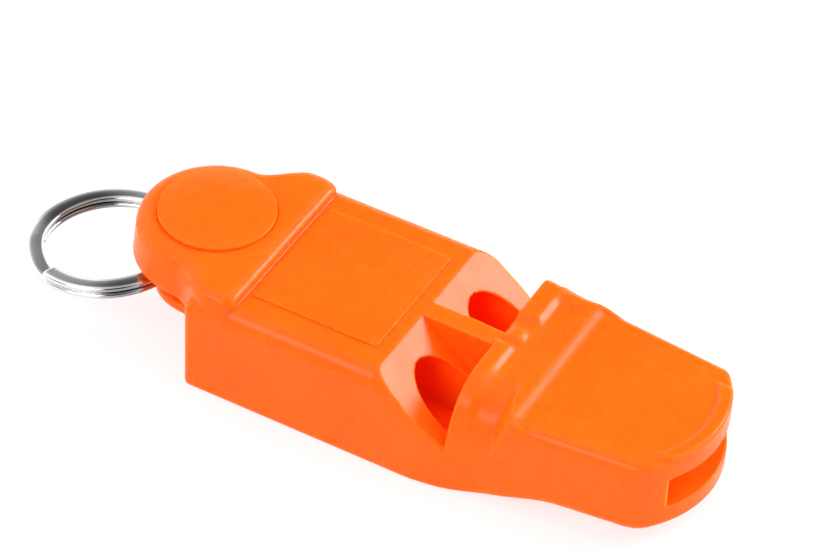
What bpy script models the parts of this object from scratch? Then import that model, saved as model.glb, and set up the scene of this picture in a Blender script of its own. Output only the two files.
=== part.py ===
"""Two-chamber pealess whistle with a split key ring: five separate pieces, one swinging joint.

The whistle lies on its base. +X runs from the lug to the mouthpiece, +Y to the far side and +Z up.
The origin is on the base plane, under the top edge of the sound notch. Sizes are in millimetres.
"""

import math

import bmesh
import bpy
from mathutils import Matrix, Vector

MM = 0.001
COLLECTION = "pealess_whistle"
CUTTER_COLLECTION = "whistle_cutters"

# ---- body envelope ----
BODY_WIDTH = 20.0
BODY_HEIGHT = 10.4
DECK_LENGTH = 18.5
BODY_EDGE = 1.8
BASE_EDGE = 0.6
REAR_CORNER = 1.0

# ---- sound notch and bridge ----
NOTCH_LENGTH = 7.15
NOTCH_DEPTH = 5.6
RIB_WIDTH = 1.9
BRIDGE_LENGTH = 5.15
NEAR_SHOULDER_ACROSS = 5.8
NEAR_SHOULDER_DOWN = 6.0
FAR_SHOULDER_ACROSS = 1.8
FAR_SHOULDER_DOWN = 1.5
SHOULDER_SETBACK = 1.4
SHOULDER_FADE = 1.8
LIP_RAISE = 0.4
LIP_LENGTH = 2.0
LIP_REACH = 6.2
LIP_EDGE = 0.35
LIP_GROOVE = 0.45
LIP_ROOT = 1.0
BUMP_HALF_WIDTH = 0.9
BUMP_OVERHANG = 0.1

# ---- mouthpiece ----
MOUTH_LENGTH = 15.9
MOUTH_ROOT_WIDTH = 17.6
MOUTH_TIP_WIDTH = 14.6
MOUTH_STEP = 0.5
MOUTH_STEP_RUN = 0.7
MOUTH_EDGE = 1.2
MOUTH_UNDERCUT = 2.05
MOUTH_UNDERCUT_RUN = 11.0
MOUTH_TIP_RISE = 0.4
TIP_ARC_RADIUS = 11.0
BITE_LIP_RAISE = 0.3
BITE_LIP_WIDTH = 1.3
BITE_LIP_SETBACK = 0.05
BITE_LIP_END_GAP = 2.0
BITE_LIP_TAPER = 0.8
UNDERCUT_START = 0.6

# ---- air passages and walls ----
SIDE_WALL = 2.3
CENTRE_WALL = 3.8
CHAMBER_ROOF = 1.6
NEAR_CHAMBER_LENGTH = 14.0
FAR_CHAMBER_LENGTH = 11.5
COVER_THICKNESS = 1.7
COVER_LEDGE = 1.1
COVER_REAR_LEDGE = 2.0
COVER_FRONT_REACH = 1.0
COVER_EDGE = 0.25
CHAMBER_END_SKIN = 0.02
NOTCH_HEADROOM = 8.0
SLOT_WIDTH = 11.0
SLOT_HEIGHT = 3.4
SLOT_ROOF = 2.15
JET_HEIGHT = 0.9
JET_INSET = 0.4
WINDWAY_WALL = 1.2
INSERT_FRONT_GAP = 5.0
INSERT_NOSE = 0.8
INSERT_LAND = 4.0
INSERT_RIB_SETBACK = 1.0
FIT_GAP = 0.3

# ---- lug, eye and badge ----
LUG_REACH = 9.8
LUG_HALF_WIDTH = 7.1
LUG_RAISE = 1.46
LUG_EDGE = 1.3
RIDGE_SETBACK = 4.3
LUG_FLARE_RUN = 4.6
LUG_FLARE_SETBACK = 2.0
LUG_INSET = 0.35
EYE_SLOT_LOW = 4.0
EYE_SLOT_HEIGHT = 3.25
LOWER_PLATE = 1.0
LOWER_PLATE_INSET = 2.0
LOWER_PLATE_SETBACK = 0.7
EYE_WEB_LENGTH = 2.8
POST_RADIUS = 0.75
POST_SETBACK = 1.85
BADGE_RADIUS = 5.3
BADGE_THICKNESS = 1.1
BADGE_DOME = 0.55
BADGE_GAP = 0.06
BADGE_PROUD = 0.05
BADGE_LIP = 0.1
BADGE_SHARE = 0.96
JOIN_DEPTH = 0.1
PAD_RAISE = 0.15
PAD_WIDTH = 13.3
PAD_SETBACK = 1.23
PAD_ROOT = 0.7

# ---- split ring ----
RING_RADIUS = 6.77
RING_WIRE_WIDTH = 1.6
RING_WIRE_HEIGHT = 0.8
RING_TURN_GAP = 0.1
RING_PLAY = 0.21
RING_SWING = 31.0
RING_DROP = 0.475
RING_CROSSING = 225.0
RING_CROSSING_RUN = 0.13
RING_DROOP = 6.8
RING_ROLL = 1.1
RING_SIDES = 44

# ---- derived places ----
HALF_WIDTH = BODY_WIDTH / 2
REAR_X = -DECK_LENGTH
BRIDGE_REAR = NOTCH_LENGTH
BRIDGE_FRONT = NOTCH_LENGTH + BRIDGE_LENGTH
TIP_X = BRIDGE_FRONT + MOUTH_LENGTH
MOUTH_TOP = BODY_HEIGHT - MOUTH_STEP
CHAMBER_RADIUS = (HALF_WIDTH - SIDE_WALL - CENTRE_WALL / 2) / 2
CHAMBER_Y = CENTRE_WALL / 2 + CHAMBER_RADIUS
CHAMBER_TOP = BODY_HEIGHT - CHAMBER_ROOF
LUG_TOP = BODY_HEIGHT + LUG_RAISE
LUG_NOSE = REAR_X - LUG_REACH
LUG_CENTRE = LUG_NOSE + LUG_HALF_WIDTH
RIDGE_X = REAR_X + RIDGE_SETBACK
EYE_SLOT_TOP = EYE_SLOT_LOW + EYE_SLOT_HEIGHT
POST_X = LUG_NOSE + POST_SETBACK
WEB_X = REAR_X - EYE_WEB_LENGTH
RING_STACK = 2 * RING_WIRE_HEIGHT + RING_TURN_GAP
RING_OFFSET = RING_RADIUS - RING_WIRE_WIDTH / 2 - POST_RADIUS - RING_PLAY
EYE_SLOT_MIDDLE = EYE_SLOT_LOW + EYE_SLOT_HEIGHT / 2
PLATE_LOW = EYE_SLOT_LOW - LOWER_PLATE
WINDWAY_ROOF = MOUTH_TOP - SLOT_ROOF
WINDWAY_REAR = BRIDGE_REAR + WINDWAY_WALL
COVER_REAR = REAR_X + COVER_REAR_LEDGE
COVER_FRONT = BRIDGE_REAR + COVER_FRONT_REACH


# ---- small helpers ----
def ease(share):
    """Smooth step from 0 to 1."""
    share = min(1.0, max(0.0, share))
    return share * share * (3 - 2 * share)


def between(low, high, share):
    return low + (high - low) * share


def new_collection(name):
    collection = bpy.data.collections.new(name)
    bpy.context.scene.collection.children.link(collection)
    return collection


def add_mesh(name, bm, collection):
    """Put a bmesh, drawn in millimetres, into a new object in metres."""
    bmesh.ops.scale(bm, vec=(MM, MM, MM), verts=bm.verts)
    bmesh.ops.recalc_face_normals(bm, faces=bm.faces)
    mesh = bpy.data.meshes.new(name)
    bm.to_mesh(mesh)
    bm.free()
    thing = bpy.data.objects.new(name, mesh)
    collection.objects.link(thing)
    return thing


def box(name, low, high, collection):
    """Box between two corners."""
    bm = bmesh.new()
    size = Vector(high) - Vector(low)
    middle = (Vector(high) + Vector(low)) / 2
    place = Matrix.Translation(middle) @ Matrix.Diagonal(size.to_4d())
    bmesh.ops.create_cube(bm, size=1.0, matrix=place)
    return add_mesh(name, bm, collection)


def cylinder(name, centre, radius, length, axis, collection, sides=40):
    """Cylinder starting at centre and running length along +X or +Z."""
    bm = bmesh.new()
    turn = Matrix.Rotation(math.radians(90), 4, "Y") if axis == "X" else Matrix.Identity(4)
    along = Vector((1, 0, 0)) if axis == "X" else Vector((0, 0, 1))
    place = Matrix.Translation(Vector(centre) + along * length / 2) @ turn
    bmesh.ops.create_cone(
        bm, cap_ends=True, segments=sides, radius1=radius, radius2=radius, depth=length, matrix=place
    )
    return add_mesh(name, bm, collection)


def prism(name, outline, start, end, axis, collection, edge=0.0):
    """Outline pushed from start to end along Z (points x, y) or Y (points x, z), its end edge rounded."""
    bm = bmesh.new()
    if axis == "Z":
        corners = [bm.verts.new((x, y, start)) for x, y in outline]
        push = Vector((0, 0, end - start))
    else:
        corners = [bm.verts.new((x, start, z)) for x, z in outline]
        push = Vector((0, end - start, 0))
    face = bm.faces.new(corners)
    made = bmesh.ops.extrude_face_region(bm, geom=[face])["geom"]
    moved = [item for item in made if isinstance(item, bmesh.types.BMVert)]
    bmesh.ops.translate(bm, vec=push, verts=moved)
    if edge > 0:
        rim = [item for item in made if isinstance(item, bmesh.types.BMEdge)]
        bmesh.ops.bevel(bm, geom=rim, offset=edge, segments=4, profile=0.5, affect="EDGES")
    return add_mesh(name, bm, collection)


def combine(target, tool, operation):
    """Boolean modifier on target; a tool is hidden and drawn as wire."""
    step = target.modifiers.new(f"{operation.lower()}_{tool.name}", "BOOLEAN")
    step.operation = operation
    step.object = tool
    step.solver = "EXACT"
    tool.hide_render = True
    tool.display_type = "WIRE"


def mirrored(outline):
    """Close an outline given on its far half, rear to front, with its near half."""
    near = [(x, -y) for x, y in reversed(outline) if abs(y) > 1e-6]
    return outline + near


# ---- materials ----
def material(name, colour, roughness, metallic):
    made = bpy.data.materials.new(name)
    made.use_nodes = True
    shader = made.node_tree.nodes["Principled BSDF"]
    shader.inputs["Base Color"].default_value = (*colour, 1.0)
    shader.inputs["Roughness"].default_value = roughness
    shader.inputs["Metallic"].default_value = metallic
    made.diffuse_color = (*colour, 1.0)
    return made


def dress(thing, finish, angle=35.0):
    thing.data.materials.clear()
    thing.data.materials.append(finish)
    thing.data.shade_smooth()
    thing.data.set_sharp_from_angle(angle=math.radians(angle))


# ---- outer form of the body ----
def half_width(x):
    """Half the body's width: full along the deck, eased in under the bridge, tapered to the tip."""
    if x <= BRIDGE_FRONT:
        start = NOTCH_LENGTH / 2
        return between(HALF_WIDTH, MOUTH_ROOT_WIDTH / 2, ease((x - start) / (BRIDGE_FRONT - start)))
    return between(MOUTH_ROOT_WIDTH / 2, MOUTH_TIP_WIDTH / 2, (x - BRIDGE_FRONT) / MOUTH_LENGTH)


def top_height(x):
    return BODY_HEIGHT - MOUTH_STEP * ease((x - BRIDGE_FRONT) / MOUTH_STEP_RUN)


def under_height(x):
    """Underside: flat to the bridge, then an S-curve up and a slight rise to the tip."""
    start = BRIDGE_REAR - UNDERCUT_START
    curve = MOUTH_UNDERCUT * ease((x - start) / MOUTH_UNDERCUT_RUN)
    return curve + MOUTH_TIP_RISE * max(0.0, (x - start - MOUTH_UNDERCUT_RUN) / MOUTH_LENGTH)


def shoulder(x, across, down):
    """Top corner at x, given its size on the bridge: small on the deck and at the mouth."""
    grow = min(1.0, max(0.0, x / NOTCH_LENGTH))
    shrink = ease((x - BRIDGE_FRONT + SHOULDER_SETBACK) / SHOULDER_FADE)
    return [between(between(BODY_EDGE, size, grow), MOUTH_EDGE, shrink) for size in (across, down)]


def body_section(x, inset=0.0):
    """Closed section at x: flat top and bottom with elliptical corners, inset at the rear edge."""
    half = half_width(x) - inset
    low = under_height(x) + inset
    high = top_height(x)
    steps = 6
    sides = []
    for sizes in ((FAR_SHOULDER_ACROSS, FAR_SHOULDER_DOWN), (NEAR_SHOULDER_ACROSS, NEAR_SHOULDER_DOWN)):
        across, down = shoulder(x, *sizes)
        turns = [math.radians(90 * k / steps) for k in range(steps + 1)]
        sides.append([(half - across * (1 - math.cos(t)), high - down * (1 - math.sin(t))) for t in turns])
    points = sides[0] + [(-y, z) for y, z in reversed(sides[1])]
    floor = []
    for k in range(steps + 1):
        turn = math.radians(90 * k / steps)
        floor.append((-half + BASE_EDGE * (1 - math.cos(turn)), low + BASE_EDGE * (1 - math.sin(turn))))
    points += floor + [(-y, z) for y, z in reversed(floor)]
    return [Vector((x, y, z)) for y, z in points]


def body_stations():
    """Places of the sections: close at the rounded rear edge, the notch, the bridge and its step."""
    rear = [(REAR_X + REAR_CORNER * (1 - math.sin(a)), REAR_CORNER * (1 - math.cos(a)))
            for a in (math.radians(90 - 18 * k) for k in range(6))]
    stations = [(x, inset) for x, inset in rear]
    stations += [(between(REAR_X + REAR_CORNER, 0, k / 4), 0.0) for k in range(1, 5)]
    stations += [(between(0, BRIDGE_FRONT, k / 12), 0.0) for k in range(1, 13)]
    stations += [(BRIDGE_FRONT + MOUTH_STEP_RUN * k / 4, 0.0) for k in range(1, 5)]
    start = BRIDGE_FRONT + MOUTH_STEP_RUN
    stations += [(between(start, TIP_X, k / 9), 0.0) for k in range(1, 10)]
    return stations


def make_envelope(name, collection):
    """Loft the sections into the closed outer form, then trim the tip to its arc."""
    bm = bmesh.new()
    loops = [[bm.verts.new(p) for p in body_section(x, inset)] for x, inset in body_stations()]
    for one, two in zip(loops, loops[1:]):
        for k in range(len(one)):
            after = (k + 1) % len(one)
            bm.faces.new((one[k], one[after], two[after], two[k]))
    bm.faces.new(list(reversed(loops[0])))
    bm.faces.new(loops[-1])
    return add_mesh(name, bm, collection)


def tip_arc(steps, reach, setback=0.0):
    """Points of the tip's front arc from far to near, setback behind it, out to half width reach."""
    radius = TIP_ARC_RADIUS - setback
    centre = TIP_X - TIP_ARC_RADIUS
    limit = math.asin(min(0.98, reach / radius))
    turns = [limit * (1 - 2 * k / steps) for k in range(steps + 1)]
    return [(centre + radius * math.cos(t), radius * math.sin(t)) for t in turns]


def lug_outline(inset, nose, front):
    """Plan of the lug: a round nose, flared out to the body's width, ending square at the front."""
    radius = LUG_HALF_WIDTH - inset
    centre = nose + radius
    shoulder_x = RIDGE_X - LUG_FLARE_RUN - LUG_FLARE_SETBACK
    points = []
    for k in range(17):
        turn = math.radians(90 * k / 16)
        points.append((centre - radius * math.cos(turn), radius * math.sin(turn)))
    wide = HALF_WIDTH - LUG_INSET - inset
    for k in range(1, 9):
        x = between(shoulder_x, shoulder_x + LUG_FLARE_RUN, k / 8)
        if x > centre:
            points.append((x, between(radius, wide, ease(k / 8))))
    points.append((front, wide))
    return mirrored(points)


# ---- body ----
def add_lug(body, cutters):
    """Upper plate, lower plate, web between them and the eye post at the nose."""
    ridge = lug_outline(0.0, LUG_NOSE, RIDGE_X)
    upper = prism("lug_upper_plate", ridge, EYE_SLOT_TOP, LUG_TOP, "Z", cutters, edge=LUG_EDGE)
    combine(body, upper, "UNION")
    radius = LUG_HALF_WIDTH - LOWER_PLATE_INSET
    nose = LUG_NOSE + LOWER_PLATE_SETBACK
    centre = nose + radius
    turns = [math.radians(90 * k / 12) for k in range(13)]
    outline = [(centre - radius * math.cos(t), radius * math.sin(t)) for t in turns]
    outline = mirrored(outline + [(REAR_X + 1.0, radius)])
    lower = prism("lug_lower_plate", outline, PLATE_LOW, EYE_SLOT_LOW, "Z", cutters)
    combine(body, lower, "UNION")
    web_half, web_low = radius - JOIN_DEPTH / 2, PLATE_LOW + JOIN_DEPTH / 2
    web_high = EYE_SLOT_TOP + 2 * JOIN_DEPTH
    web = box("lug_web", (WEB_X, -web_half, web_low), (REAR_X + 0.9, web_half, web_high), cutters)
    combine(body, web, "UNION")
    foot = (POST_X, 0, PLATE_LOW + JOIN_DEPTH)
    post_length = EYE_SLOT_TOP + 2 * JOIN_DEPTH - foot[2]
    post = cylinder("eye_post", foot, POST_RADIUS, post_length, "Z", cutters, 24)
    combine(body, post, "UNION")
    floor = (LUG_CENTRE, 0, LUG_TOP - BADGE_THICKNESS)
    wide, deep = BADGE_RADIUS + BADGE_GAP, BADGE_THICKNESS + 1
    pocket = cylinder("badge_pocket", floor, wide, deep, "Z", cutters, 56)
    combine(body, pocket, "DIFFERENCE")


def cut_notch(body, cutters):
    """Sound notch: one sloping cut on each side of the rib, and the two chambers below."""
    rise = NOTCH_HEADROOM
    floor = BODY_HEIGHT - NOTCH_DEPTH
    slope = NOTCH_DEPTH / NOTCH_LENGTH
    outline = [(0, BODY_HEIGHT), (BRIDGE_REAR, floor), (BRIDGE_REAR, BODY_HEIGHT + rise),
               (-rise / 4, BODY_HEIGHT + rise), (-rise / 4, BODY_HEIGHT + rise / 4 * slope)]
    for side, name in ((1, "far"), (-1, "near")):
        inner, outer = side * RIB_WIDTH / 2, side * (HALF_WIDTH + 2)
        notch = prism(f"{name}_notch", outline, inner, outer, "Y", cutters)
        combine(body, notch, "DIFFERENCE")


def cut_chambers(body, cutters):
    """Each chamber is a bore of round roof, open below to the recess that the base cover closes."""
    axis_height = CHAMBER_TOP - CHAMBER_RADIUS
    front = BRIDGE_REAR - CHAMBER_END_SKIN
    for side, name, length in ((1, "far", FAR_CHAMBER_LENGTH), (-1, "near", NEAR_CHAMBER_LENGTH)):
        y = side * CHAMBER_Y
        end = (-length, y, axis_height)
        roof = cylinder(f"{name}_chamber", end, CHAMBER_RADIUS, length + front, "X", cutters, 32)
        combine(body, roof, "DIFFERENCE")
        low = (-length, y - CHAMBER_RADIUS, COVER_THICKNESS - 2 * JOIN_DEPTH)
        well = box(f"{name}_well", low, (front, y + CHAMBER_RADIUS, axis_height), cutters)
        combine(body, well, "DIFFERENCE")
    reach = HALF_WIDTH - COVER_LEDGE
    recess = box("cover_recess", (COVER_REAR, -reach, -1), (COVER_FRONT, reach, COVER_THICKNESS), cutters)
    combine(body, recess, "DIFFERENCE")


def cut_windway(body, cutters):
    """Air passage from the mouth slot to the back of the bridge, and the thin jets over the notch."""
    low = (WINDWAY_REAR, -SLOT_WIDTH / 2, WINDWAY_ROOF - SLOT_HEIGHT)
    passage = box("windway_passage", low, (TIP_X + 1, SLOT_WIDTH / 2, WINDWAY_ROOF), cutters)
    combine(body, passage, "DIFFERENCE")
    inner, outer = RIB_WIDTH / 2 + JET_INSET, SLOT_WIDTH / 2
    for side, name in ((1, "far"), (-1, "near")):
        ends = sorted((side * inner, side * outer))
        low = (BRIDGE_REAR - 0.5, ends[0], WINDWAY_ROOF - JET_HEIGHT)
        jet = box(f"{name}_jet", low, (WINDWAY_REAR + 0.8, ends[1], WINDWAY_ROOF), cutters)
        combine(body, jet, "DIFFERENCE")


def add_bridge_details(body, cutters):
    """Rear lip of the bridge in two halves with the middle bump between, and the bite lip at the tip."""
    top = BODY_HEIGHT + LIP_RAISE
    low = BODY_HEIGHT - LIP_ROOT
    for side, name in ((1, "far"), (-1, "near")):
        ends = sorted((side * (BUMP_HALF_WIDTH + LIP_GROOVE), side * LIP_REACH))
        x0, x1 = BRIDGE_REAR + 0.02, BRIDGE_REAR + LIP_LENGTH
        plan = [(x0, ends[0]), (x1, ends[0]), (x1, ends[1]), (x0, ends[1])]
        lip = prism(f"{name}_lip", plan, low, top, "Z", cutters, edge=LIP_EDGE)
        combine(body, lip, "UNION")
    x0, x1 = BRIDGE_REAR - BUMP_OVERHANG, BRIDGE_REAR + LIP_LENGTH
    half = BUMP_HALF_WIDTH
    bump_plan = [(x0, -half), (x1, -half), (x1, half), (x0, half)]
    bump = prism("middle_bump", bump_plan, low, top, "Z", cutters, edge=LIP_EDGE)
    combine(body, bump, "UNION")
    reach = MOUTH_TIP_WIDTH / 2 - BITE_LIP_END_GAP
    front = tip_arc(12, reach, setback=BITE_LIP_SETBACK)
    back = tip_arc(12, reach - BITE_LIP_TAPER, setback=BITE_LIP_WIDTH)
    high = MOUTH_TOP + BITE_LIP_RAISE
    lip = prism("bite_lip", front + back[::-1], MOUTH_TOP - LIP_ROOT, high, "Z", cutters)
    combine(body, lip, "UNION")
    pad_plan = [(RIDGE_X + 0.9, -PAD_WIDTH / 2), (-PAD_SETBACK, -PAD_WIDTH / 2),
                (-PAD_SETBACK, PAD_WIDTH / 2), (RIDGE_X + 0.9, PAD_WIDTH / 2)]
    pad = prism("label_pad", pad_plan, BODY_HEIGHT - PAD_ROOT, BODY_HEIGHT + PAD_RAISE, "Z", cutters)
    combine(body, pad, "UNION")


def trim_tip(body, cutters):
    """Cut the front to its arc in plan."""
    reach = HALF_WIDTH + 2
    arc = tip_arc(24, min(reach, TIP_ARC_RADIUS * 0.97))
    side, front = reach + 3, TIP_X + 4
    outline = arc + [(arc[-1][0], -side), (front, -side), (front, side), (arc[0][0], side)]
    trim = prism("tip_trim", outline, -2, LUG_TOP + 2, "Z", cutters)
    combine(body, trim, "DIFFERENCE")


def make_body(parts, cutters, finish):
    body = make_envelope("body", parts)
    trim_tip(body, cutters)
    add_lug(body, cutters)
    cut_chambers(body, cutters)
    cut_notch(body, cutters)
    cut_windway(body, cutters)
    add_bridge_details(body, cutters)
    dress(body, finish)
    return body


# ---- other pieces ----
def make_base_cover(parts, finish):
    """Flat cover welded into the recess under the chambers."""
    reach = HALF_WIDTH - COVER_LEDGE - FIT_GAP
    plan = [(COVER_REAR + FIT_GAP, -reach), (COVER_FRONT - FIT_GAP, -reach),
            (COVER_FRONT - FIT_GAP, reach), (COVER_REAR + FIT_GAP, reach)]
    cover = prism("base_cover", plan, COVER_THICKNESS - FIT_GAP, 0.0, "Z", parts, edge=COVER_EDGE)
    dress(cover, finish)
    return cover


def make_windway_insert(parts, cutters, finish):
    """Wedge in the mouth passage that lifts the air to the jets, with a rib that parts it in two."""
    floor = WINDWAY_ROOF - SLOT_HEIGHT + FIT_GAP
    rear, front = WINDWAY_REAR + FIT_GAP, TIP_X - INSERT_FRONT_GAP
    half = SLOT_WIDTH / 2 - FIT_GAP
    high = WINDWAY_ROOF - JET_HEIGHT
    crest = rear + INSERT_LAND
    outline = [(rear, floor), (front, floor), (front, floor + INSERT_NOSE), (crest, high), (rear, high)]
    insert = prism("windway_insert", outline, -half, half, "Y", parts)
    rib_rear, rib_front, rib_half = rear + JOIN_DEPTH, front - INSERT_RIB_SETBACK, RIB_WIDTH / 2
    rib_plan = [(rib_rear, -rib_half), (rib_front, -rib_half), (rib_front, rib_half), (rib_rear, rib_half)]
    rib = prism("insert_rib", rib_plan, floor + JOIN_DEPTH, WINDWAY_ROOF - FIT_GAP, "Z", cutters)
    combine(insert, rib, "UNION")
    dress(insert, finish)
    return insert


def make_badge(parts, finish):
    """Blank domed disc in the lug's pocket: a turned profile."""
    floor = LUG_TOP - BADGE_THICKNESS + FIT_GAP
    rim = LUG_TOP + BADGE_PROUD
    steps = 10
    turns = [math.radians(90 * k / steps) for k in range(1, steps + 1)]
    wide = BADGE_RADIUS * BADGE_SHARE
    dome = [(wide * math.sin(t), rim + BADGE_DOME * math.cos(t)) for t in turns]
    wall = [(BADGE_RADIUS, rim - BADGE_LIP), (BADGE_RADIUS, floor), (0.0, floor)]
    profile = [(0.0, rim + BADGE_DOME)] + dome + wall
    bm = bmesh.new()
    points = [bm.verts.new((x, 0, z)) for x, z in profile]
    for one, two in zip(points, points[1:]):
        bm.edges.new((one, two))
    bmesh.ops.spin(bm, geom=bm.verts[:] + bm.edges[:], cent=(0, 0, 0), axis=(0, 0, 1),
                   angle=math.radians(360), steps=48, use_merge=True, use_duplicate=False)
    bmesh.ops.remove_doubles(bm, verts=bm.verts, dist=0.001)
    badge = add_mesh("badge_disc", bm, parts)
    badge.location = (LUG_CENTRE * MM, 0, 0)
    dress(badge, finish)
    return badge


def make_split_ring(parts, cutters, finish):
    """Two flat turns of one wire, hung from an empty on the eye post's axis."""
    pivot = bpy.data.objects.new("ring_pivot", None)
    pivot.location = (POST_X * MM, 0, EYE_SLOT_MIDDLE * MM)
    parts.objects.link(pivot)
    wide, high = RING_WIRE_WIDTH / 2 * MM, RING_WIRE_HEIGHT / 2 * MM
    section = bpy.data.curves.new("wire_section", "CURVE")
    loop = section.splines.new("POLY")
    quarter = [(1, 0.45), (0.72, 1), (-0.72, 1), (-1, 0.45)]
    corners = [(x, -y) for x, y in quarter] + quarter[::-1]
    loop.points.add(len(corners) - 1)
    for point, (x, y) in zip(loop.points, corners):
        point.co = (x * wide, y * high, 0, 1)
    loop.use_cyclic_u = True
    profile = bpy.data.objects.new("wire_section", section)
    profile.hide_render = True
    profile.display_type = "WIRE"
    cutters.objects.link(profile)
    wire = bpy.data.curves.new("split_ring", "CURVE")
    wire.dimensions = "3D"
    wire.twist_mode = "Z_UP"
    wire.bevel_mode = "OBJECT"
    wire.bevel_object = profile
    wire.use_fill_caps = True
    path = wire.splines.new("POLY")
    path.points.add(2 * RING_SIDES)
    pitch = RING_WIRE_HEIGHT + RING_TURN_GAP
    run = RING_CROSSING_RUN
    for k, point in enumerate(path.points):
        share = between(run / 2, 2 - run / 2, k / (2 * RING_SIDES))
        turn = math.radians(RING_CROSSING) - 2 * math.pi * share
        height = pitch * (ease((share - 1) / run + 0.5) - 0.5)
        place = Vector((RING_RADIUS * math.cos(turn), RING_RADIUS * math.sin(turn), height)) * MM
        point.co = (*place, 1)
    ring = bpy.data.objects.new("split_ring", wire)
    parts.objects.link(ring)
    ring.parent = pivot
    swing = math.radians(180 + RING_SWING)
    centre = Vector((math.cos(swing), math.sin(swing), 0)) * RING_OFFSET
    centre.z = -RING_DROP
    ring.location = centre * MM
    ring.rotation_euler = (math.radians(RING_ROLL), -math.radians(RING_DROOP), 0)
    wire.materials.append(finish)
    return ring


def main():
    for thing in list(bpy.data.objects):
        bpy.data.objects.remove(thing)
    parts = new_collection(COLLECTION)
    cutters = new_collection(CUTTER_COLLECTION)
    plastic = material("orange_plastic", (0.95, 0.20, 0.015), 0.22, 0.0)
    steel = material("bright_steel", (0.75, 0.75, 0.76), 0.12, 1.0)
    make_body(parts, cutters, plastic)
    make_base_cover(parts, plastic)
    make_windway_insert(parts, cutters, plastic)
    make_badge(parts, plastic)
    make_split_ring(parts, cutters, steel)


main()
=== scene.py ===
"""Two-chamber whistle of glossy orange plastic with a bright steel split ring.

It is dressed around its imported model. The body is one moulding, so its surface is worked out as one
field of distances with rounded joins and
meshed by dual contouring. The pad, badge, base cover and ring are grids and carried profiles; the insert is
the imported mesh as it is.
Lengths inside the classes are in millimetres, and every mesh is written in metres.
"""

import logging
import math
from dataclasses import dataclass
from enum import Enum
from typing import Callable, Sequence

import bpy
import numpy as np
from mathutils import Matrix, Vector


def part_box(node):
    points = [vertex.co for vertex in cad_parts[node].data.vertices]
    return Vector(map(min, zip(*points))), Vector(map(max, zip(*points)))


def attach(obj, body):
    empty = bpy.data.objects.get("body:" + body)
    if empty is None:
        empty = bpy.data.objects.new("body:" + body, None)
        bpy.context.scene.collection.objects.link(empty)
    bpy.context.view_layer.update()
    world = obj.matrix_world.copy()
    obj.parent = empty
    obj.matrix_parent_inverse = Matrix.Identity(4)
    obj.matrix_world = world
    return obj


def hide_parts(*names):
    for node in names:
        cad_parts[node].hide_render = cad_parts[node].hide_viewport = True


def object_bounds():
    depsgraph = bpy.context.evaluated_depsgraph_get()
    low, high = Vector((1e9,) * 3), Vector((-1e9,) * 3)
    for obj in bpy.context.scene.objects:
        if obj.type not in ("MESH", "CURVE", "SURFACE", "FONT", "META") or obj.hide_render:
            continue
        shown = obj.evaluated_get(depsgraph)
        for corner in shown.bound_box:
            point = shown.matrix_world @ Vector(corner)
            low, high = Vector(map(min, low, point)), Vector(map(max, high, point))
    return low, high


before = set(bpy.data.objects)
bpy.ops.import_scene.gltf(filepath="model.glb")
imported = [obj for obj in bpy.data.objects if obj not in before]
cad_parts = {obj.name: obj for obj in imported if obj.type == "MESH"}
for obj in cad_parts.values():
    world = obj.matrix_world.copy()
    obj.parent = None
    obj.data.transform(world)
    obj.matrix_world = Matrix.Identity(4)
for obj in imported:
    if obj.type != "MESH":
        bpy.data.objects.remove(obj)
CAD_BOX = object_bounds()

LOG = logging.getLogger("whistle")
MM = 0.001

Array = np.ndarray
Field = Callable[[Array, Array, Array], Array]
Outline = Callable[[Array, float], Array]
Opening = tuple[tuple[float, float, float], float, float, float]


class CadBody(Enum):
    """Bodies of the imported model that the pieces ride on."""

    WHISTLE = "whistle"
    KEY_RING = "key_ring"


class Slot(Enum):
    """Material slots of the record."""

    PLASTIC = "orange_plastic"
    STEEL = "bright_steel"


# ---------------------------------------------------------------- numbers


def ease(share: Array) -> Array:
    """Smooth step from 0 to 1 with level ends: s * s * (3 - 2 s), held outside 0 to 1."""
    held = np.clip(share, 0.0, 1.0)
    return held * held * (3 - 2 * held)


def rise(value: Array, start: float, run: float) -> Array:
    """Smooth step up that begins at a start and takes a run."""
    return ease((value - start) / run)


def fall(value: Array, start: float, run: float) -> Array:
    """Smooth step down that begins at a start and takes a run."""
    return 1 - rise(value, start, run)


def between(low: Array, high: Array, share: Array) -> Array:
    """Straight mix of low and high."""
    return low + (high - low) * share


def meet(first: Array, second: Array, radius: float | Array) -> Array:
    """Distance to what two fields share, its outer edge rounded.

    Where both are nearer than the radius, the distance is that to a circle about the point that lies
    one radius inside each; elsewhere it is the greater of the two.

    Args:
        first: Distances to one solid, negative inside.
        second: Distances to the other.
        radius: Radius of the rounded edge.

    Returns:
        Distances to the shared solid.
    """
    corner = np.hypot(np.maximum(radius + first, 0), np.maximum(radius + second, 0))
    return np.minimum(-radius, np.maximum(first, second)) + corner


def join(first: Array, second: Array, radius: float | Array) -> Array:
    """Distance to two solids together, the inner corner between them filled to a radius."""
    return -meet(-first, -second, radius)


def carve(solid: Array, tool: Array, radius: float | Array) -> Array:
    """Distance to a solid with a tool cut out of it, the cut's outer edge rounded."""
    return meet(solid, -tool, radius)


def slab(value: Array, low: float, high: float) -> Array:
    """Distance to the stretch between two values."""
    return np.maximum(low - value, value - high)


# ---------------------------------------------------------------- meshes


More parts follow.
